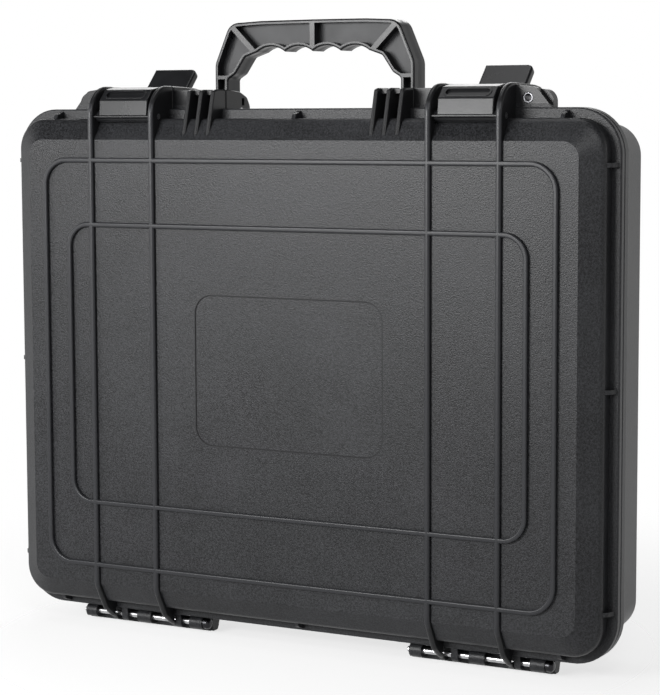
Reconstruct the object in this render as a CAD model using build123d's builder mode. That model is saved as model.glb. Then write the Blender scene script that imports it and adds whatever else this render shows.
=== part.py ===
from build123d import *
from math import atan2, cos, pi, radians, sin, tan
import os

os.makedirs("parts", exist_ok=True)

# Portable tool case: a hinged hard shell that stands on its hinges and rear feet.
# X runs across the case, Z is up, and -Y is the lid side that faces the viewer.
# Sketches are drawn in depth, counted back from the lid's rib tops, and in height,
# counted from the middle of the shells.

# Overall sizes
case_half_x = 229.5
case_half_z = 178.0
case_depth = 97.0
seam_depth = 27.5
foot_drop = 11.6
mid_height = case_half_z + foot_drop

# Shell walls
wall = 3.2
flange_reach = 6.7
lid_flange = 5.5
base_flange = 7.5
flange_radius = 30.0
wall_radius = 21.0
panel_radius = 10.7
bevel_width = 14.4
bevel_depth = 8.6
bevel_rounding = 5.0
base_draft = 4.0
edge_rounding = 1.2
gusset_width = 2.8

# Ribs on the two large panels
rib_height = 2.8
rib_width = 3.4
rib_rounding = 1.15
outer_frame = (193.9, 142.8, 17.5)
inner_frame = (173.9, 98.0, 15.5)
recess_frame = (71.8, 51.6, 13.0)
recess_depth = 0.5

# Seal between the shells
groove_width = 4.0
groove_depth = 3.3
tongue_width = 2.4
tongue_height = 1.2
seal_gap = 0.1

# Hinges
pin_radius = 2.0
seat_gap = 0.02
running_gap = 0.05
hinge_offset = 130.5
hinge_height = -183.0
knuckle_radius = 4.6
pin_tail = 2.6
pin_head_radius = 4.0
pin_head_length = 4.8
base_knuckles = ((-49.3, -40.5), (-5.4, 5.8), (38.3, 48.7))
lid_knuckles = ((-18.2, -13.4), (27.4, 31.6))
bracket_ends = (-53.2, 52.0)
bracket_length = 7.0
bracket_slope = 8.0
bracket_plates = 5
bracket_rounding = 2.2
foot_width = 50.0
foot_length = 12.0
foot_front = 72.0

# Latches
latch_offset = 130.1
ear_spacing = 49.8
ear_thickness = 4.0
ear_rounding = 1.8
ear_radius = 21.0
ear_top = 193.8
ear_tail = 14.0
plate_gap = 0.2
side_gap = 0.4
front_pin_depth = 8.7
front_pin_height = 172.8
front_boss_radius = 3.9
cover_width = 39.6
cheek_thickness = 2.0
shoulder_low = (5.6, 184.2)
shoulder_high = (12.4, 191.4)
cover_top = 193.0
cover_sheet = 2.6
lever_pin_depth = 57.0
lever_pin_height = 184.5
lever_boss_radius = 4.6
lever_reach = 27.8
lever_lean = 46.0
lever_thickness = 5.8
lever_corner = 4.5
keeper_setback = 8.0
keeper_length = 3.5
keeper_top = 179.5
nose_gap = 0.8
nose_length = 6.0
slot_width = 31.0
slot_height = 5.0
slot_rim = 1.3

# Padlock lugs beside the latches
lug_hole_offset = 10.5
lug_hole_height = 184.1
eyelet_radius = 3.7
eyelet_bore = 2.0
lid_lug = 4.5

# Handle and its brackets
fin_offsets = (62.3, 71.6, 81.2)
fin_thickness = 3.2
fin_rounding = 1.4
fin_top = 191.0
fin_rear = 61.0
roof_depth = 17.5
roof_thickness = 3.0
handle_front = 40.0
handle_depth = 17.4
handle_top = 237.6
handle_foot_inner = 66.5
handle_foot_outer = 76.7
handle_pin_depth = 48.7
handle_pin_height = 176.5
handle_pin_radius = 2.2
handle_boss_radius = 4.7
handle_rim = 2.3
handle_pocket = 7.4
handle_web = 3.6
handle_bend = 208.6
handle_rounding = 1.2
grip_pitch = 21.5
grip_height = 216.3
grip_rise = 3.6
grip_rounding = 4.0

# Worked out from the sizes above
wall_half_x = case_half_x - flange_reach
wall_half_z = case_half_z - flange_reach
panel_half_x = wall_half_x - bevel_width
panel_half_z = wall_half_z - bevel_width
bevel_end = rib_height + bevel_depth
bevel_turn = atan2(bevel_depth, bevel_width)
inner_step = wall * tan(bevel_turn / 2)
inner_drop = wall * tan((pi / 2 - bevel_turn) / 2)
rear_bevel_start = case_depth - bevel_end
ear_offsets = (latch_offset - ear_spacing / 2, latch_offset + ear_spacing / 2)
ear_rear = lever_pin_depth + ear_tail
bay_width = ear_spacing - ear_thickness
lip_width = bay_width - 2 * side_gap
lever_width = cover_width - 2 * cheek_thickness - 2 * side_gap
keeper_depth = lever_pin_depth - keeper_setback
lug_hole_x = ear_offsets[1] + lug_hole_offset
bracket_front = seam_depth + knuckle_radius + 0.9


def front_plane(depth):
    # Faces the viewer: local x is X, local y is height
    origin = (0, depth - case_depth / 2, mid_height)
    return Plane(origin=origin, x_dir=(1, 0, 0), z_dir=(0, -1, 0))


def side_plane(x):
    # Faces +X: local x is depth, local y is height
    return Plane(origin=(x, -case_depth / 2, mid_height), x_dir=(0, 1, 0), z_dir=(1, 0, 0))


def top_plane(height):
    # Faces up: local x is X, local y is depth
    origin = (0, -case_depth / 2, height + mid_height)
    return Plane(origin=origin, x_dir=(1, 0, 0), z_dir=(0, 0, 1))


def outline_at(depth, half_x, half_z, radius):
    with BuildSketch(front_plane(depth)) as outline:
        RectangleRounded(2 * half_x, 2 * half_z, radius)
    return outline.sketch


def ring_at(depth, inset, width):
    # A band that follows the flange's edge, a distance inside it
    with BuildSketch(front_plane(depth)) as band:
        half = width / 2
        for spread, mode in ((half, Mode.ADD), (-half, Mode.SUBTRACT)):
            RectangleRounded(
                2 * (case_half_x - inset + spread),
                2 * (case_half_z - inset + spread),
                flange_radius - inset + spread,
                mode=mode,
            )
    return band.sketch


def flange(front, rear):
    with BuildPart() as rim:
        extrude(outline_at(rear, case_half_x, case_half_z, flange_radius), amount=rear - front)
        fillet(rim.edges().filter_by(Axis.Y, reverse=True), edge_rounding)
    return rim.part


def plate(points, radii, x, thickness, rounding):
    # An upright plate across X from its outline in depth and height
    with BuildPart() as upright:
        with BuildSketch(side_plane(x - thickness / 2)):
            with BuildLine():
                FilletPolyline(*points, radius=radii, close=True)
            make_face()
        extrude(amount=thickness)
        if rounding:
            fillet(upright.edges().filter_by(Axis.X, reverse=True), rounding)
    return upright.part


def bar(x_from, x_to, depth, height, radius):
    # A round bar along X
    with BuildPart() as rod:
        with BuildSketch(side_plane(x_from)):
            with Locations((depth, height)):
                Circle(radius)
        extrude(amount=x_to - x_from)
    return rod.part


def block(x_from, x_to, depth_from, depth_to, height_from, height_to, rounding=0):
    with BuildPart() as body:
        with BuildSketch(side_plane(x_from)):
            with Locations(((depth_from + depth_to) / 2, (height_from + height_to) / 2)):
                Rectangle(depth_to - depth_from, height_to - height_from)
        extrude(amount=x_to - x_from)
        if rounding:
            fillet(body.edges(), rounding)
    return body.part


def rib_frame(half_x, half_z, radius, root):
    # One raised rounded rectangle, from its root depth out to the lid or rear rib tops
    half = rib_width / 2
    height = rib_height + wall / 2
    with BuildPart() as frame:
        with BuildSketch(front_plane(root)):
            RectangleRounded(2 * (half_x + half), 2 * (half_z + half), radius + half)
            RectangleRounded(
                2 * (half_x - half), 2 * (half_z - half), radius - half, mode=Mode.SUBTRACT
            )
        if root < seam_depth:
            extrude(amount=height)
            fillet(frame.faces().sort_by(Axis.Y)[0].edges(), rib_rounding)
        else:
            extrude(amount=-height)
            fillet(frame.faces().sort_by(Axis.Y)[-1].edges(), rib_rounding)
    return frame.part


def rib_bar(x):
    # One upright rib of the back, which runs down over both bevels
    corner = panel_half_z - base_draft - 1
    shoulder = wall_half_z - base_draft + 1.2
    points = (
        (case_depth, corner), (rear_bevel_start + 1.8, shoulder),
        (rear_bevel_start - 6, shoulder - 2.2), (rear_bevel_start - 6, 2.2 - shoulder),
        (rear_bevel_start + 1.8, -shoulder), (case_depth, -corner),
    )
    return plate(points, (12, 3, 0, 0, 3, 12), x, ear_thickness, ear_rounding)


def saddle(x):
    # The end of a rib foot: a half ring under the hinge pin, open above
    with BuildPart() as half_ring:
        with BuildSketch(side_plane(x - ear_thickness / 2)):
            with Locations((seam_depth, hinge_height)):
                Circle(knuckle_radius)
                with Locations((0, knuckle_radius + 0.4)):
                    Rectangle(4 * knuckle_radius, 2 * knuckle_radius, mode=Mode.SUBTRACT)
        extrude(amount=ear_thickness)
    return half_ring.part


def ear(x):
    # One long rib of the lid: a latch ear above, the panel rib, and the hinge foot below
    foot = hinge_height - knuckle_radius
    points = (
        (seam_depth - plate_gap, ear_top), (0, ear_top),
        (0, -157.5), (10.8, -177.0), (19.5, foot + 4.0),
        (seam_depth, foot), (seam_depth, -wall_half_z),
    )
    radii = (0, ear_radius, 12, 8, 6, 0, 0)
    half = ear_thickness / 2
    notch = seam_depth - knuckle_radius - 1.4
    with BuildPart() as rib:
        add(plate(points, radii, x, ear_thickness, ear_rounding))
        # The foot stays open over the hinge pin
        add(
            block(x - half, x + half, notch, seam_depth + 1, hinge_height + 0.4, -case_half_z),
            mode=Mode.SUBTRACT,
        )
    return rib.part


def bracket_fin(points, radii, offsets):
    # The same fin at each offset, on both sides of the middle
    sides = [side * offset for side in (-1, 1) for offset in offsets]
    return [plate(points, radii, x, fin_thickness, fin_rounding) for x in sides]


def side_gusset(height, side):
    # Small web between the lid's side wall and its flange
    root = wall_half_x - 1
    front = bevel_end + 1.5
    rear = seam_depth - lid_flange + 0.5
    with BuildPart() as web:
        with BuildSketch(top_plane(height - gusset_width / 2)):
            with BuildLine():
                FilletPolyline(
                    (side * root, front), (side * (root + 3.8), front + 2),
                    (side * (root + 6.2), rear), (side * root, rear),
                    radius=(0, 3, 0, 0), close=True,
                )
            make_face()
        extrude(amount=gusset_width)
    return web.part


def top_gusset(x, side):
    root = side * (wall_half_z - 1)
    front = bevel_end + 1.5
    rear = seam_depth - lid_flange + 0.5
    points = (
        (front, root), (front + 2, root + side * 3.8),
        (rear, root + side * 6.2), (rear, root),
    )
    return plate(points, (0, 3, 0, 0), x, gusset_width, 0)


def lug(points, radii, depth, thickness):
    # A padlock lug: a plate that faces forwards, from its outline in X and height
    with BuildPart() as ear_plate:
        with BuildSketch(front_plane(depth)):
            with BuildLine():
                FilletPolyline(*points, radius=radii, close=True)
            make_face()
        extrude(amount=thickness)
    return ear_plate.part


def eye(side, depth, length):
    # The hole for a padlock eyelet
    with BuildPart() as hole:
        with BuildSketch(front_plane(depth)):
            with Locations((side * lug_hole_x, lug_hole_height)):
                Circle(eyelet_radius + seat_gap)
        extrude(amount=length)
    return hole.part


def knuckle(start, stop, towards_base):
    # A hinge ring with the web that carries it
    if towards_base:
        web = (seam_depth + plate_gap, bracket_front + 1, hinge_height - knuckle_radius)
    else:
        web = (seam_depth - knuckle_radius, seam_depth - plate_gap, hinge_height)
    return [
        bar(start, stop, seam_depth, hinge_height, knuckle_radius),
        block(start, stop, *web, -case_half_z + 1),
    ]


sides = (-1, 1)
ear_places = [side * offset for side in sides for offset in ear_offsets]
hinge_centres = (-hinge_offset, hinge_offset)
front_pin = (front_pin_depth, front_pin_height)
lever_pin = (lever_pin_depth, lever_pin_height)
handle_pin = (handle_pin_depth, handle_pin_height)
hinge_axis = (seam_depth, hinge_height)

# Lid
with BuildPart() as front_shell:
    loft(
        [
            outline_at(rib_height, panel_half_x, panel_half_z, panel_radius),
            outline_at(bevel_end, wall_half_x, wall_half_z, wall_radius),
        ],
        ruled=True,
    )
    extrude(
        outline_at(seam_depth, wall_half_x, wall_half_z, wall_radius),
        amount=seam_depth - bevel_end,
    )
    bevel_y = bevel_end - case_depth / 2
    fillet(front_shell.edges().filter_by_position(Axis.Y, bevel_y, bevel_y), bevel_rounding)
    # Shallow plain recess in the middle of the panel
    recess = outline_at(rib_height + recess_depth, *recess_frame)
    extrude(recess, amount=recess_depth, mode=Mode.SUBTRACT)
    lid_pieces = [flange(seam_depth - lid_flange, seam_depth)]
    lid_pieces += [rib_frame(*frame, rib_height + wall / 2) for frame in (outer_frame, inner_frame)]
    lid_pieces += [ear(x) for x in ear_places]
    # Brackets in front of the handle: three fins under one roof
    fin_points = (
        (4.0, 157.6), (12.6, fin_top - 1.0), (16.0, fin_top),
        (seam_depth - plate_gap, fin_top), (seam_depth - plate_gap, 157.6),
    )
    lid_pieces += bracket_fin(fin_points, (0, 1.6, 4, 0, 0), fin_offsets)
    for side in sides:
        ends = sorted((side * fin_offsets[0], side * fin_offsets[2]))
        roof = fin_top - 0.6
        lid_pieces.append(
            block(*ends, roof_depth, seam_depth - plate_gap, roof - roof_thickness, roof)
        )
        # Padlock lug outside the latch
        inner = ear_offsets[1]
        lug_points = (
            (side * inner, ear_top - 1.2), (side * (inner + 16.4), ear_top - 3.2),
            (side * (inner + 28.0), wall_half_z + 5.4), (side * (inner + 28.0), wall_half_z),
            (side * inner, wall_half_z),
        )
        lid_pieces.append(lug(lug_points, (0, 6, 3, 0, 0), seam_depth - plate_gap, lid_lug))
    lid_pieces += [top_gusset(x, side) for x in (-193.0, 0.0, 193.0) for side in sides]
    lid_pieces += [side_gusset(height, side) for height in (-142.0, 0.0, 142.0) for side in sides]
    add(lid_pieces)
    # Hollow: a bevelled tray with an even wall
    inner_half = (wall_half_x - wall, wall_half_z - wall)
    loft(
        [
            outline_at(
                rib_height + wall, panel_half_x - inner_step, panel_half_z - inner_step, panel_radius - 2
            ),
            outline_at(bevel_end + inner_drop, *inner_half, wall_radius - wall),
        ],
        ruled=True,
        mode=Mode.SUBTRACT,
    )
    extrude(
        outline_at(seam_depth, *inner_half, wall_radius - wall),
        amount=seam_depth - bevel_end - inner_drop,
        mode=Mode.SUBTRACT,
    )
    # Seal groove, latch bosses' room, pin bores and padlock holes
    groove_inset = (flange_reach + wall) / 2
    extrude(ring_at(seam_depth, groove_inset, groove_width), amount=groove_depth, mode=Mode.SUBTRACT)
    cuts = []
    for side in sides:
        middle = side * latch_offset
        relief = front_boss_radius + side_gap
        cuts.append(bar(middle - bay_width / 2, middle + bay_width / 2, *front_pin, relief))
        ends = sorted((side * (ear_offsets[0] - 4), side * (ear_offsets[1] + 4)))
        cuts.append(bar(*ends, *front_pin, pin_radius + seat_gap))
        cuts.append(eye(side, seam_depth, lid_lug + 1))
    add(cuts, mode=Mode.SUBTRACT)
    # Hinge knuckles: full rings, and open saddles at the rib feet
    knuckles = [saddle(x) for x in ear_places]
    for centre in hinge_centres:
        for start, stop in lid_knuckles:
            knuckles += knuckle(centre + start, centre + stop, False)
    add(knuckles)
    between = (base_knuckles[0][1], base_knuckles[-1][0])
    bores = [
        bar(centre + between[0], centre + between[1], *hinge_axis, pin_radius + running_gap)
        for centre in hinge_centres
    ]
    add(bores, mode=Mode.SUBTRACT)
front_shell.part.label = "front_shell"

# Base
with BuildPart() as rear_shell:
    tapered = (wall_half_x - base_draft, wall_half_z - base_draft)
    rear_panel = (tapered[0] - bevel_width, tapered[1] - bevel_width)
    loft(
        [
            outline_at(seam_depth, wall_half_x, wall_half_z, wall_radius),
            outline_at(rear_bevel_start, *tapered, wall_radius),
        ],
        ruled=True,
    )
    loft(
        [
            outline_at(rear_bevel_start, *tapered, wall_radius),
            outline_at(case_depth - rib_height, *rear_panel, panel_radius),
        ],
        ruled=True,
    )
    bevel_y = rear_bevel_start - case_depth / 2
    fillet(rear_shell.edges().filter_by_position(Axis.Y, bevel_y, bevel_y), bevel_rounding)
    # The back carries the same ribs as the lid, mirrored
    for half_x, half_z, radius in (outer_frame, inner_frame):
        root = case_depth - rib_height - wall / 2
        add(rib_frame(half_x - base_draft, half_z - base_draft, radius, root))
    add([rib_bar(x) for x in ear_places])
    base_pieces = [flange(seam_depth, seam_depth + base_flange)]
    # Latch ears carried on behind the seam
    ear_points = (
        (seam_depth + plate_gap, 160.0), (seam_depth + plate_gap, ear_top - 0.2),
        (37.0, ear_top - 0.4), (lever_pin_depth, ear_top - 1.2), (ear_rear - 4, ear_top - 2.6),
        (ear_rear, ear_top - 9), (ear_rear, 160.0),
    )
    ear_radii = (0, 0, 20, 20, 5, 5, 0)
    base_pieces += [plate(ear_points, ear_radii, x, ear_thickness, ear_rounding) for x in ear_places]
    # Handle brackets: two fins each side, joined by a roof and open below it
    fin_points = (
        (seam_depth + plate_gap, 160.0), (seam_depth + plate_gap, fin_top),
        (34.0, fin_top), (48.0, fin_top - 1.4), (57.0, fin_top - 5),
        (fin_rear, fin_top - 11), (fin_rear, 160.0),
    )
    base_pieces += bracket_fin(fin_points, (0, 0, 20, 12, 5, 5, 0), (fin_offsets[0], fin_offsets[2]))
    for side in sides:
        roof = fin_top - 0.6
        ends = sorted((side * fin_offsets[0], side * fin_offsets[2]))
        base_pieces.append(
            block(*ends, seam_depth + plate_gap, handle_front - 3, roof - roof_thickness, roof)
        )
        # Web from the latch to the handle bracket, just behind the seam
        ends = sorted((side * fin_offsets[2], side * ear_offsets[0]))
        base_pieces.append(block(*ends, seam_depth + 0.6, seam_depth + 3.2, 165.0, roof + 0.4))
        # Padlock lug behind the lid's
        inner = ear_offsets[1]
        lug_points = (
            (side * inner, ear_top - 4.2), (side * (inner + 26.0), ear_top - 4.2),
            (side * (inner + 26.0), wall_half_z), (side * inner, wall_half_z),
        )
        base_pieces.append(
            lug(lug_points, (0, 8, 0, 0), seam_depth + base_flange, base_flange - plate_gap)
        )
        # Keeper that the latch's nose drops behind
        middle = side * latch_offset
        reach = lever_width / 2 - 1
        base_pieces.append(
            block(
                middle - reach, middle + reach, keeper_depth, keeper_depth + keeper_length,
                160.0, keeper_top, 0.6,
            )
        )
    # Hinge brackets below: cored plates with a flat standing edge, and the rear feet
    ground = -case_half_z - foot_drop
    root = -wall_half_z + 5
    bracket_points = (
        (bracket_front + 1, ground), (bracket_front + bracket_length, ground),
        (bracket_front + bracket_length + bracket_slope, root), (bracket_front + 1, root),
    )
    for centre in hinge_centres:
        start, stop = (centre + end for end in bracket_ends)
        strip_points = ((start, root), (start, ground), (stop, ground), (stop, root))
        strip_radii = (0, bracket_rounding, bracket_rounding, 0)
        base_pieces.append(lug(strip_points, strip_radii, bracket_front + wall, wall))
        step = (stop - start - wall) / (bracket_plates - 1)
        for number in range(bracket_plates):
            x = start + wall / 2 + number * step
            base_pieces.append(plate(bracket_points, (0, 2, 0, 0), x, wall, 0))
        half = foot_width / 2
        base_pieces.append(
            block(centre - half, centre + half, foot_front, foot_front + foot_length, ground, root + 4, 1.5)
        )
        for first, last in base_knuckles:
            base_pieces += knuckle(centre + first, centre + last, True)
    add(base_pieces)
    # Hollow: a tapered tray with an even wall
    inner_start = rear_bevel_start - inner_drop
    inner_tapered = (tapered[0] - wall, tapered[1] - wall)
    inner_floor = (rear_panel[0] - inner_step, rear_panel[1] - inner_step)
    loft(
        [
            outline_at(seam_depth, *inner_half, wall_radius - wall),
            outline_at(inner_start, *inner_tapered, wall_radius - wall),
        ],
        ruled=True,
        mode=Mode.SUBTRACT,
    )
    loft(
        [
            outline_at(inner_start, *inner_tapered, wall_radius - wall),
            outline_at(case_depth - rib_height - wall, *inner_floor, panel_radius - 2),
        ],
        ruled=True,
        mode=Mode.SUBTRACT,
    )
    # Tongue that presses on the seal
    extrude(ring_at(seam_depth, groove_inset, tongue_width), amount=tongue_height)
    # Bores, padlock holes and strap slots
    cuts = []
    for side in sides:
        ends = sorted((side * (fin_offsets[0] - 4), side * (fin_offsets[2] + 4)))
        cuts.append(bar(*ends, *handle_pin, handle_pin_radius + seat_gap))
        x = side * fin_offsets[0]
        cuts.append(block(x - fin_thickness, x + fin_thickness, 49.0, 52.5, 180.2, 185.2))
        cuts.append(eye(side, seam_depth + base_flange + 1, base_flange + 2))
    for centre in hinge_centres:
        ends = (centre + base_knuckles[0][0] - 1, centre + base_knuckles[-1][1] + 1)
        cuts.append(bar(*ends, *hinge_axis, pin_radius + seat_gap))
    add(cuts, mode=Mode.SUBTRACT)
rear_shell.part.label = "rear_shell"

# Seal, seated in the lid's groove and cleared from the base's tongue
with BuildPart() as lid_seal:
    bottom = seam_depth - groove_depth
    height = groove_depth - tongue_height - seal_gap
    extrude(ring_at(bottom + height, groove_inset, groove_width - 2 * seal_gap), amount=height)
lid_seal.part.label = "lid_seal"

# Hinge pins, each with a domed head at its +X end
hinge_pins = {}
for name, centre in (("hinge_pin_left", -hinge_offset), ("hinge_pin_right", hinge_offset)):
    with BuildPart() as hinge_pin:
        start = centre + base_knuckles[0][0] - pin_tail
        head = centre + base_knuckles[-1][1] + side_gap
        with BuildSketch(side_plane(start)):
            with Locations((seam_depth, hinge_height)):
                Circle(pin_radius)
        extrude(amount=head - start)
        fillet(hinge_pin.faces().sort_by(Axis.X)[0].edges(), 0.6)
        with BuildSketch(side_plane(head)):
            with Locations((seam_depth, hinge_height)):
                Circle(pin_head_radius)
        extrude(amount=pin_head_length)
        fillet(hinge_pin.faces().sort_by(Axis.X)[-1].edges(), 2.6)
    hinge_pin.part.label = name
    hinge_pins[name] = hinge_pin.part

# Latch covers: a bent sheet with two cheeks, a full-width front barrel with a lip, and rear bosses
cover_rear = lever_pin_depth + lever_boss_radius
cover_points = (
    (4.0, front_pin_height - 0.6), shoulder_low, shoulder_high, (22.0, cover_top),
    (36.0, cover_top), (cover_rear - 9, cover_top - 1.2), (cover_rear, cover_top - 5),
    (cover_rear, lever_pin_height - lever_boss_radius), (22.0, 179.2),
    (10.0, front_pin_height - 2.2), (6.2, front_pin_height - 2.6),
)
cover_radii = (0.6, 2.4, 5, 14, 20, 8, 4, 3, 4, 3, 0.8)
hollow_points = (
    (13.2, 176.6), (7.0, 178.0), (shoulder_low[0] + 2.6, shoulder_low[1] - 0.8),
    (shoulder_high[0] + 0.8, shoulder_high[1] - 2.8), (22.0, cover_top - cover_sheet),
    (80.0, cover_top - cover_sheet), (80.0, 160.0), (22.0, 160.0),
)
hollow_radii = (2, 1.5, 1.5, 4, 12, 0, 0, 0)
lip_points = (
    (7.0, front_pin_height + 1.6), (2.6, front_pin_height + 0.7),
    (2.6, front_pin_height - 0.7), (7.0, front_pin_height - 1.4),
)
nose_front = keeper_depth + keeper_length + nose_gap
nose_points = (
    (nose_front, 174.6), (nose_front, 184.0),
    (nose_front + nose_length + 1.5, 184.0), (nose_front + nose_length, 174.6),
)
latch_covers = []
latch_levers = []
latch_pins = []
for word, side in (("left", -1), ("right", 1)):
    middle = side * latch_offset
    half = cover_width / 2
    inside = half - cheek_thickness
    with BuildPart() as latch_cover:
        add(plate(cover_points, cover_radii, middle, cover_width, 0.9))
        # The sheet ends ahead of the lever, and is open below
        hollow = [
            plate(hollow_points, hollow_radii, middle, 2 * inside, 0),
            block(middle - inside, middle + inside, lever_pin_depth - 7.4, 80, 160, 200),
        ]
        add(hollow, mode=Mode.SUBTRACT)
        reach = lip_width / 2
        barrel = bar(middle - reach, middle + reach, *front_pin, front_boss_radius)
        add([barrel, plate(lip_points, (0, 0.6, 0.5, 0), middle, lip_width, 0)])
        bores = [
            bar(middle - reach - 1, middle + reach + 1, *front_pin, pin_radius + running_gap),
            bar(middle - half - 1, middle + half + 1, *lever_pin, pin_radius + seat_gap),
        ]
        add(bores, mode=Mode.SUBTRACT)
        # Rimmed grip recess on the shoulder
        rise = atan2(shoulder_high[1] - shoulder_low[1], shoulder_high[0] - shoulder_low[0])
        centre = [(low + high) / 2 for low, high in zip(shoulder_low, shoulder_high)]
        shoulder = Plane(
            origin=(middle, centre[0] - case_depth / 2, centre[1] + mid_height),
            x_dir=(1, 0, 0),
            z_dir=(0, -sin(rise), cos(rise)),
        )
        with BuildPart(mode=Mode.PRIVATE) as rim:
            with BuildSketch(shoulder.offset(-0.6)):
                RectangleRounded(
                    slot_width + 2 * slot_rim, slot_height + 2 * slot_rim, slot_height / 2 + slot_rim - 0.1
                )
            extrude(amount=1.1)
            fillet(rim.faces().sort_by(Axis((0, 0, 0), shoulder.z_dir))[-1].edges(), 0.45)
        add(rim.part)
        with BuildSketch(shoulder.offset(0.6)):
            RectangleRounded(slot_width, slot_height, slot_height / 2 - 0.1)
        extrude(amount=-1.9, mode=Mode.SUBTRACT)
    latch_cover.part.label = "latch_cover_" + word
    latch_covers.append(latch_cover.part)

    half = lever_width / 2
    lean = radians(lever_lean)
    hub = (middle, lever_pin_depth - case_depth / 2, lever_pin_height + mid_height)
    grip_plane = Plane(origin=hub, x_dir=(1, 0, 0), z_dir=(0, -sin(lean), cos(lean)))
    with BuildPart() as grip:
        with BuildSketch(grip_plane.offset(-lever_thickness / 2)) as grip_outline:
            with Locations((0, lever_reach / 2)):
                Rectangle(lever_width, lever_reach)
            fillet(grip_outline.vertices().sort_by(Axis.Z)[-2:], lever_corner)
        extrude(amount=lever_thickness)
        fillet(grip.faces().sort_by(Axis((0, 0, 0), grip_plane.z_dir))[-1].edges(), 1.6)
        fillet(grip.faces().sort_by(Axis((0, 0, 0), grip_plane.z_dir))[0].edges(), 1.6)
    with BuildPart() as latch_lever:
        add(bar(middle - half, middle + half, *lever_pin, lever_boss_radius))
        add([grip.part, plate(nose_points, (1.2, 0, 0, 2), middle, lever_width - 6, 0)])
        bore = pin_radius + running_gap
        add(bar(middle - lever_width, middle + lever_width, *lever_pin, bore), mode=Mode.SUBTRACT)
    latch_lever.part.label = "latch_lever_" + word
    latch_levers.append(latch_lever.part)

    reach = ear_spacing / 2 + ear_thickness / 2
    pin = bar(middle - reach, middle + reach, *front_pin, pin_radius)
    pin.label = "latch_front_pin_" + word
    latch_pins.append(pin)
    pin = bar(middle - cover_width / 2, middle + cover_width / 2, *lever_pin, pin_radius)
    pin.label = "latch_lever_pin_" + word
    latch_pins.append(pin)

# Padlock eyelets: rolled metal tubes in the lugs, in line across the seam
eyelets = []
for word, side in (("left", -1), ("right", 1)):
    for shell, front, length in (
        ("lid", seam_depth - plate_gap - lid_lug, lid_lug),
        ("base", seam_depth + plate_gap, base_flange - plate_gap),
    ):
        with BuildPart() as eyelet:
            with BuildSketch(front_plane(front + length)):
                with Locations((side * lug_hole_x, lug_hole_height)):
                    Circle(eyelet_radius)
                    Circle(eyelet_bore, mode=Mode.SUBTRACT)
            extrude(amount=length)
            mouth = eyelet.faces().sort_by(Axis.Y)[0 if shell == "lid" else -1]
            fillet(mouth.edges(), 0.7)
        eyelet.part.label = f"{shell}_eyelet_{word}"
        eyelets.append(eyelet.part)

def handle_sketch(depth, inset):
    # The grip's outline, symmetric about X = 0, drawn in by an inset
    bottom = handle_pin_height - handle_boss_radius
    with BuildSketch(front_plane(depth)) as grip_face:
        with BuildLine():
            FilletPolyline(
                (0, handle_top), (-40.0, handle_top - 0.2), (-64.8, handle_top - 1.4),
                (-handle_foot_outer, handle_bend), (-handle_foot_outer, bottom),
                (-handle_foot_inner, bottom), (-handle_foot_inner, 198.2), (-60.6, 201.7),
                (-52.8, 213.0), (-2 * grip_pitch, grip_height),
                radius=(60, 10, 12, 0, 0, 3, 5, 4),
            )
            for number in (-2, -1):
                start = number * grip_pitch
                ThreePointArc(
                    (start, grip_height),
                    (start + grip_pitch / 2, grip_height + grip_rise),
                    (start + grip_pitch, grip_height),
                )
            mirror(about=Plane.YZ)
        make_face()
        # The finger hollows meet in rounded bumps
        bumps = [
            corner for corner in grip_face.vertices()
            if abs(corner.Z - mid_height - grip_height) < 0.01 and abs(corner.X) < 1.5 * grip_pitch
        ]
        fillet(bumps, grip_rounding)
        if inset:
            offset(amount=-inset, mode=Mode.REPLACE)
            # Webs that stay between the pockets
            with Locations((0, handle_top - 20)):
                Rectangle(handle_web, 60, mode=Mode.SUBTRACT)
            for side in (-1, 1):
                with Locations(Location((side * 54.0, 225.0), side * 45)):
                    Rectangle(30, handle_web, mode=Mode.SUBTRACT)
                with Locations((side * 71.6, 199.4)):
                    Rectangle(14, 2.4, mode=Mode.SUBTRACT)
                with Locations((side * 71.6, 180.8)):
                    Rectangle(14, 20.8, mode=Mode.SUBTRACT)
    return grip_face.sketch


# Handle: an open-framed grip on two feet
with BuildPart() as handle:
    rear = handle_front + handle_depth
    extrude(handle_sketch(rear, 0), amount=handle_depth)
    # Seen from the side, each foot narrows to a round end about its pin
    with BuildSketch(side_plane(-handle_foot_outer - 1)) as handle_side:
        with BuildLine():
            waist = handle_pin_height + 11
            Polyline(
                (handle_front, waist), (handle_front, 240), (rear, 240), (rear, waist),
                (handle_pin_depth + handle_boss_radius, handle_pin_height),
                (handle_pin_depth - handle_boss_radius, handle_pin_height),
                (handle_front, waist),
            )
        make_face()
        with Locations(handle_pin):
            Circle(handle_boss_radius)
    extrude(amount=2 * handle_foot_outer + 2, mode=Mode.INTERSECT)
    fillet(handle.faces().sort_by(Axis.Y)[0].edges(), handle_rounding)
    fillet(handle.faces().sort_by(Axis.Y)[-1].edges(), handle_rounding)
    # Pockets in front and behind leave a thin web along the middle
    extrude(handle_sketch(handle_front + handle_pocket, handle_rim), amount=handle_pocket, mode=Mode.SUBTRACT)
    extrude(handle_sketch(rear, handle_rim), amount=handle_pocket, mode=Mode.SUBTRACT)
    # Bosses that fill the gap between the bracket's fins
    for side in sides:
        ends = (
            fin_offsets[0] + fin_thickness / 2 + side_gap, fin_offsets[2] - fin_thickness / 2 - side_gap,
        )
        ends = sorted((side * ends[0], side * ends[1]))
        add(bar(*ends, *handle_pin, handle_boss_radius))
        add(bar(*ends, *handle_pin, handle_pin_radius + running_gap), mode=Mode.SUBTRACT)
handle.part.label = "handle"

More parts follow.
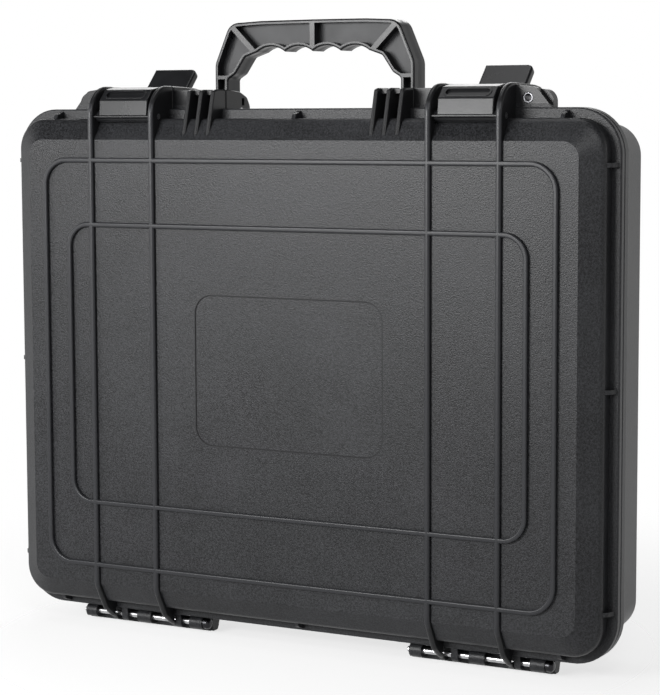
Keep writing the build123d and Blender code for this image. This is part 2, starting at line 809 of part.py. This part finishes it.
handle_pins = []
for word, side in (("left", -1), ("right", 1)):
    ends = (fin_offsets[0] - fin_thickness / 2, fin_offsets[2] + fin_thickness / 2)
    ends = sorted((side * ends[0], side * ends[1]))
    pin = bar(*ends, *handle_pin, handle_pin_radius)
    pin.label = "handle_pin_" + word
    handle_pins.append(pin)

export_step(front_shell.part, "parts/front_shell.step")
export_step(rear_shell.part, "parts/rear_shell.step")
export_step(lid_seal.part, "parts/lid_seal.step")
export_step(handle.part, "parts/handle.step")
for name, pin in hinge_pins.items():
    export_step(pin, f"parts/{name}.step")
for piece in latch_covers + latch_levers + latch_pins + eyelets + handle_pins:
    export_step(piece, f"parts/{piece.label}.step")
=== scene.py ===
from math import radians

import bpy
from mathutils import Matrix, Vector

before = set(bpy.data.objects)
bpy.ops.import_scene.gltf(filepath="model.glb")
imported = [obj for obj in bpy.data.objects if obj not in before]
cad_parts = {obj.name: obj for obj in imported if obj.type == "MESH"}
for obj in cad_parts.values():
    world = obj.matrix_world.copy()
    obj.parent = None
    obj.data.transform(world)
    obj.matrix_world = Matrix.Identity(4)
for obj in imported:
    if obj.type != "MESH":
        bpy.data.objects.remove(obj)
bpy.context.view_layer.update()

scene = bpy.context.scene
scene.view_settings.view_transform = "Standard"


# Shader sockets that add their own maths nodes

class Socket:
    def __init__(self, tree, link):
        self.tree = tree
        self.link = link

    def maths(self, operation, *others):
        values = {0: self}
        values.update({index + 1: other for index, other in enumerate(others)})
        return self.tree.node("ShaderNodeMath", {"operation": operation}, values)

    def __add__(self, other):
        return self.maths("ADD", other)

    __radd__ = __add__

    def __sub__(self, other):
        return self.maths("SUBTRACT", other)

    def __rsub__(self, other):
        return (self * -1) + other

    def __mul__(self, other):
        return self.maths("MULTIPLY", other)

    def steps(self, low, high):  # 0 below low, 1 above high, smooth between
        settings = {"interpolation_type": "SMOOTHSTEP"}
        values = {"Value": self, "From Min": low, "From Max": high, "To Min": 0.0, "To Max": 1.0}
        return self.tree.node("ShaderNodeMapRange", settings, values, "Result")


class Shader:
    def __init__(self, name, data=None):
        self.material = data or bpy.data.materials.new(name)
        self.material.use_nodes = True
        self.nodes = self.material.node_tree.nodes
        self.links = self.material.node_tree.links
        self.nodes.clear()

    def node(self, kind, settings=None, values=None, output=0):
        made = self.nodes.new(kind)
        for name, setting in (settings or {}).items():
            setattr(made, name, setting)
        for name, value in (values or {}).items():
            if isinstance(value, Socket):
                self.links.new(value.link, made.inputs[name])
            else:
                made.inputs[name].default_value = value
        return Socket(self, made.outputs[output])

    def place(self):
        return self.node("ShaderNodeTexCoord", output="Object")

    def axis(self, place, letter):
        return self.node("ShaderNodeSeparateXYZ", values={"Vector": place}, output=letter)

    def noise(self, place, scale, detail, roughness):
        values = {"Vector": place, "Scale": scale, "Detail": detail, "Roughness": roughness}
        return self.node("ShaderNodeTexNoise", values=values, output="Fac")

    def bump(self, height, strength, distance):
        values = {"Height": height, "Strength": strength, "Distance": distance}
        return self.node("ShaderNodeBump", values=values, output="Normal")

    def mixColours(self, amount, first, second):
        values = {"Factor": amount, 6: first, 7: second}
        return self.node("ShaderNodeMix", {"data_type": "RGBA"}, values, 2)

    def surface(self, **values):
        return self.finish(self.node("ShaderNodeBsdfPrincipled", values=values))

    def finish(self, shader, kind="ShaderNodeOutputMaterial"):
        output = self.nodes.new(kind)
        self.links.new(shader.link, output.inputs["Surface"])
        return self.material


def paintNode(name, material):
    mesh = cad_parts[name].data
    mesh.materials.clear()
    mesh.materials.append(material)


# Shell plastic: fine leather grain on the flats, polished on the ribs, ears and brackets

shellFinish = {
    "colour": (0.0030, 0.0031, 0.0036, 1.0),
    "worn": (0.0220, 0.0227, 0.0250, 1.0),
    "ribColour": (0.0080, 0.0082, 0.0090, 1.0),
    # the front ribs are painted lighter as sheen, standing in for the light on their rounded faces
    "frontRibPaintedSheen": (0.0170, 0.0175, 0.0195, 1.0),
    "specular": 0.23,
    "grainSize": 1450.0,
    "grainHeight": 0.00016,
    "grainStrength": 0.6,
    "grainRoughness": 0.39,
    "grainSpeckle": 0.75,
    "pebbleSize": 0.6,  # share of grainSize
    "pebbleHeight": 0.8,
    "pebbleGloss": 0.24,
    "cloudSize": 16.0,
    "cloudGloss": 0.06,
    "ribRoughness": 0.34,
    "ribCloudGloss": 0.1,
    "ribSmoothing": 0.93,  # share of the grain that the smooth parts lose
    "ribTops": -0.0464,  # Y in front of which only ribs stand
    "ribTopsEdge": 0.0003,
    "ribOffsets": (0.1052, 0.1550),
    "ribHalf": 0.0022,
    "finOffsets": (0.0623, 0.0716, 0.0812),
    "finHalf": 0.0018,
    "stripEdge": (0.0002, 0.0004),  # how far each strip fades, inwards and outwards
    "finFoot": 0.3500,
    "topOfWalls": 0.3700,
    "heightEdge": 0.0004,
    "panelDepth": (-0.0440, -0.0430),  # Y where the lid's panel ends
    "recessHalf": (0.0718, 0.0516, 0.1896),  # half width, half height and the middle's Z
    "recessCorner": 0.0130,
    "recessLine": 0.00055,
    "recessDull": 0.25,
}


# painted shade: this mask marks a line along the recess outline, which also gets a duller roughness
def recessShadeLine(across, up):  # 1 along the outline of the plain recess
    look = shellFinish
    halfX, halfZ, middle = look["recessHalf"]
    corner = look["recessCorner"]
    a = (across.maths("ABSOLUTE") - (halfX - corner)).maths("MAXIMUM", 0.0)
    b = ((up - middle).maths("ABSOLUTE") - (halfZ - corner)).maths("MAXIMUM", 0.0)
    gap = ((a * a + b * b).maths("SQRT") - corner).maths("ABSOLUTE")
    return 1 - gap.steps(look["recessLine"] * 0.5, look["recessLine"] * 1.5)


def smoothParts(across, up, ribs):  # 1 on the ribs, fins and everything above the walls
    look = shellFinish
    edge = look["heightEdge"]
    inwards, outwards = look["stripEdge"]
    atFins = up.steps(look["finFoot"] - edge, look["finFoot"] + edge)
    strips = [(offset, look["ribHalf"], 1.0) for offset in look["ribOffsets"]]
    strips += [(offset, look["finHalf"], atFins) for offset in look["finOffsets"]]
    away = across.maths("ABSOLUTE")
    smooth = ribs
    for offset, half, share in strips:
        near = (away - offset).maths("ABSOLUTE")
        strip = (1 - near.steps(half - inwards, half + outwards)) * share
        smooth = smooth.maths("MAXIMUM", strip)
    return smooth.maths("MAXIMUM", up.steps(look["topOfWalls"] - edge, look["topOfWalls"] + edge))


def shellPlastic():
    look = shellFinish
    shader = Shader("shellPlastic")
    place = shader.place()
    across, back, up = (shader.axis(place, letter) for letter in "XYZ")
    ribs = 1 - back.steps(look["ribTops"] - look["ribTopsEdge"], look["ribTops"] + look["ribTopsEdge"])
    smooth = smoothParts(across, up, ribs)
    front = 1 - back.steps(*look["panelDepth"])
    # edge: a smooth line of painted shade along the recess outline, in the rib colour and duller
    edge = recessShadeLine(across, up) * front
    cells = shader.node(
        "ShaderNodeTexVoronoi", {"feature": "SMOOTH_F1"},
        {"Vector": place, "Scale": look["grainSize"], "Smoothness": 0.5}, "Distance",
    )
    pebbles = shader.noise(place, look["grainSize"] * look["pebbleSize"], 3.0, 0.65)
    cloud = shader.noise(place, look["cloudSize"], 4.0, 0.55)
    rough = look["grainRoughness"] + (pebbles - 0.5) * look["pebbleGloss"]
    rough = rough + (cloud - 0.5) * look["cloudGloss"] + edge * look["recessDull"]
    polished = look["ribRoughness"] + (cloud - 0.5) * look["ribCloudGloss"]
    speckle = pebbles.steps(0.35, 0.65)
    tint = cloud.steps(0.35, 0.75) * (1 - look["grainSpeckle"]) + speckle * look["grainSpeckle"]
    grained = shader.mixColours(tint, look["colour"], look["worn"])
    colour = shader.mixColours(smooth.maths("MAXIMUM", edge), grained, look["ribColour"])
    height = (cells + pebbles * look["pebbleHeight"]) * (1 - smooth * look["ribSmoothing"])
    return shader.surface(**{
        # painted sheen: the front ribs in front of ribTops get a lighter colour
        "Base Color": shader.mixColours(ribs, colour, look["frontRibPaintedSheen"]),
        "Roughness": rough * (1 - smooth) + polished * smooth,
        "Specular IOR Level": look["specular"],
        "Normal": shader.bump(height, look["grainStrength"], look["grainHeight"]),
    })


# Smooth moulded plastic for the latches and the handle

trimFinish = {
    "colour": (0.0060, 0.0062, 0.0070, 1.0),
    "lighter": (0.0120, 0.0123, 0.0135, 1.0),
    "specular": 0.22,
    "roughness": 0.30,
    "cloudSize": 40.0,
    "cloudGloss": 0.16,
    "grainSize": 900.0,
    "grainHeight": 0.00006,
    "grainStrength": 0.25,
    "webMiddle": 0.0002,
    "webHalf": 0.0022,
    "webEdge": 0.0008,
    "webDuller": 0.14,
    # the sunk web's lighter colour is painted light, standing in for the light in the grip's pockets
    "webPaintedLight": (0.0200, 0.0205, 0.0220, 1.0),
}


def trimPlastic(name, pockets=False):
    look = trimFinish
    shader = Shader(name)
    place = shader.place()
    cloud = shader.noise(place, look["cloudSize"], 4.0, 0.6)
    fine = shader.noise(place, look["grainSize"], 2.0, 0.5)
    colour = shader.mixColours(cloud.steps(0.3, 0.8), look["colour"], look["lighter"])
    rough = look["roughness"] + (cloud - 0.5) * look["cloudGloss"]
    if pockets:  # the grip's sunk web is duller than its rims
        depth = (shader.axis(place, "Y") - look["webMiddle"]).maths("ABSOLUTE")
        sunk = 1 - depth.steps(look["webHalf"], look["webHalf"] + look["webEdge"])
        rough = rough + sunk * look["webDuller"]
        # painted light: the sunk web is coloured lighter than the rims
        colour = shader.mixColours(sunk, colour, look["webPaintedLight"])
    return shader.surface(**{
        "Base Color": colour,
        "Roughness": rough,
        "Specular IOR Level": look["specular"],
        "Normal": shader.bump(fine, look["grainStrength"], look["grainHeight"]),
    })


# Steel pins, their heads and rolled eyelets

steelFinish = {
    "colour": (0.50, 0.50, 0.51, 1.0),
    "dull": (0.30, 0.30, 0.31, 1.0),
    "roughness": 0.28,
    "lineSize": 2500.0,
}
# the eyelets' metal is coloured dark as painted shade, for the dark surroundings it mirrors
eyeletShadedFinish = {
    "colour": (0.20, 0.20, 0.21, 1.0),
    "dull": (0.10, 0.10, 0.11, 1.0),
    "roughness": 0.42,
    "lineSize": 1200.0,
}
headFinish = {
    "colour": (0.030, 0.030, 0.032, 1.0),
    "spans": ((-0.0816, -0.0760), (0.1794, 0.1850)),  # X from and to
    "edge": 0.0001,
}
metalGrain = {
    "lengthways": 40.0,
    "height": 0.00003,
    "strength": 0.2,
    "gloss": 0.2,
    "cloudSize": 220.0,
}


def pinSteel(name, look, heads=()):
    shader = Shader(name)
    place = shader.place()
    scale = (metalGrain["lengthways"], look["lineSize"], look["lineSize"])
    turned = shader.node("ShaderNodeMapping", values={"Vector": place, "Scale": scale})
    lines = shader.noise(turned, 1.0, 3.0, 0.6)
    cloud = shader.noise(place, metalGrain["cloudSize"], 3.0, 0.6)
    colour = shader.mixColours(cloud.steps(0.4, 0.8), look["colour"], look["dull"])
    for low, high in heads:  # the hinge pins' blackened heads
        across = shader.axis(place, "X")
        edge = headFinish["edge"]
        head = across.steps(low - edge, low) * (1 - across.steps(high, high + edge))
        colour = shader.mixColours(head, colour, headFinish["colour"])
    return shader.surface(**{
        "Base Color": colour,
        "Roughness": look["roughness"] + (lines - 0.5) * metalGrain["gloss"],
        "Metallic": 1.0,
        "Normal": shader.bump(lines, metalGrain["strength"], metalGrain["height"]),
    })


sealFinish = {
    "colour": (0.012, 0.012, 0.012, 1.0),
    "lighter": (0.022, 0.022, 0.022, 1.0),
    "roughness": 0.7,
    "cloudSize": 300.0,
    "cloudGloss": 0.2,
    "grainHeight": 0.0001,
    "grainStrength": 0.3,
}


def sealRubber():
    look = sealFinish
    shader = Shader("sealRubber")
    cloud = shader.noise(shader.place(), look["cloudSize"], 3.0, 0.6)
    return shader.surface(**{
        "Base Color": shader.mixColours(cloud, look["colour"], look["lighter"]),
        "Roughness": look["roughness"] + (cloud - 0.5) * look["cloudGloss"],
        "Normal": shader.bump(cloud, look["grainStrength"], look["grainHeight"]),
    })


shell = shellPlastic()
trim = trimPlastic("trimPlastic")
steel = pinSteel("pinSteel", steelFinish)
hingeSteel = pinSteel("hingeSteel", steelFinish, headFinish["spans"])
eyeletShadedSteel = pinSteel("eyeletShadedSteel", eyeletShadedFinish)
finishes = {
    "front_shell": shell,
    "rear_shell": shell,
    "lid_seal": sealRubber(),
    "handle": trimPlastic("handlePlastic", pockets=True),
}
for side in ("left", "right"):
    finishes["latch_cover_" + side] = trim
    finishes["latch_lever_" + side] = trim
    finishes["lid_eyelet_" + side] = eyeletShadedSteel
    finishes["base_eyelet_" + side] = eyeletShadedSteel
    finishes["hinge_pin_" + side] = hingeSteel
    for pin in ("handle_pin_", "latch_front_pin_", "latch_lever_pin_"):
        finishes[pin + side] = steel
for name, material in finishes.items():
    paintNode(name, material)
print("materials done:", len(finishes), "nodes painted")


# Floor, lights and camera

white = (1.0, 1.0, 1.0, 1.0)
studio = {
    "floorSize": 14.0,
    "floorDrop": 0.0002,
    "floorColour": (0.86, 0.86, 0.86, 1.0),
    "floorClear": 0.72,
    "floorFade": (0.22, 0.60),  # distance at which the floor turns into the white room
    "skyStrength": 0.22,
    "ceiling": (0.22, 0.60),  # upward share of the direction where the white room turns dim
    "ceilingStrength": 0.10,
    "aimHeight": 0.2,
}
lamps = {
    "key": {"place": (-0.52, -1.33, 0.55), "size": (0.72, 0.34), "watts": 26.0},
    "left": {"place": (-1.45, -0.72, 0.50), "size": (0.35, 0.70), "watts": 6.0},
    "back": {"place": (-0.62, 1.15, 1.05), "size": (1.0, 0.5), "watts": 6.0},
    "top": {"place": (-0.15, 0.05, 1.50), "size": (0.9, 0.5), "watts": 4.5},
    "right": {"place": (0.80, -1.05, 1.05), "size": (0.5, 0.3), "watts": 6.5},
}


def backgroundRays(shader):  # rays that show the white background
    kinds = ("Is Camera Ray", "Is Glossy Ray", "Is Transmission Ray")
    camera, glossy, clear = (shader.node("ShaderNodeLightPath", output=kind) for kind in kinds)
    return camera.maths("MAXIMUM", glossy).maths("MAXIMUM", clear)


def makeFloor():
    bpy.ops.object.select_all(action="DESELECT")
    place = (0, 0, -studio["floorDrop"])
    bpy.ops.mesh.primitive_plane_add(size=studio["floorSize"], location=place)
    floor = bpy.context.object
    floor.name = "studio_floor"
    shader = Shader("paleFloor")
    far = shader.node("ShaderNodeVectorMath", {"operation": "LENGTH"}, {0: shader.place()}, "Value")
    plain = shader.node("ShaderNodeBsdfDiffuse", values={"Color": studio["floorColour"]})
    # Mostly clear, so the white room shows, and so does the lid where it opens below the floor
    clear = shader.node("ShaderNodeBsdfTransparent", values={"Color": white})
    nearClear = studio["floorClear"]
    fade = far.steps(*studio["floorFade"]) * (1.0 - nearClear)
    share = backgroundRays(shader) * (nearClear + fade)
    shader.finish(shader.node("ShaderNodeMixShader", values={0: share, 1: plain, 2: clear}))
    floor.data.materials.append(shader.material)


def makeWorld():
    scene.world = bpy.data.worlds.new("paleRoom")
    shader = Shader("paleRoom", scene.world)
    direction = shader.node("ShaderNodeTexCoord", output="Generated")
    ceiling = shader.axis(direction, "Z").steps(*studio["ceiling"])
    shown = 1 - ceiling * (1.0 - studio["ceilingStrength"])
    seen = shader.node("ShaderNodeBackground", values={"Color": white, "Strength": shown})
    lit = shader.node("ShaderNodeBackground", values={"Color": white, "Strength": studio["skyStrength"]})
    mixed = shader.node("ShaderNodeMixShader", values={0: backgroundRays(shader), 1: lit, 2: seen})
    shader.finish(mixed, "ShaderNodeOutputWorld")


def makeLamp(name, look):
    data = bpy.data.lights.new(name + "Lamp", "AREA")
    data.shape = "RECTANGLE"
    data.size, data.size_y = look["size"]
    data.energy = look["watts"]
    lamp = bpy.data.objects.new(name + "Lamp", data)
    scene.collection.objects.link(lamp)
    lamp.location = look["place"]
    towards = Vector((0.0, 0.0, studio["aimHeight"])) - lamp.location
    lamp.rotation_euler = towards.to_track_quat("-Z", "Y").to_euler()


makeFloor()
makeWorld()
for name, look in lamps.items():
    makeLamp(name, look)

view = {
    "place": (0.72515, -1.32126, 0.36537),
    "turn": (83.893, 0.219, 28.459),
    "lens": 114.249,
    "sensor": 36.0,
    "farthest": 50.0,
}
cameraData = bpy.data.cameras.new("photoCamera")
cameraData.lens = view["lens"]
cameraData.sensor_width = view["sensor"]
cameraData.sensor_fit = "AUTO"
cameraData.clip_end = view["farthest"]
camera = bpy.data.objects.new("photoCamera", cameraData)
camera.location = view["place"]
camera.rotation_euler = [radians(angle) for angle in view["turn"]]
scene.collection.objects.link(camera)
scene.camera = camera
print("studio and camera done")
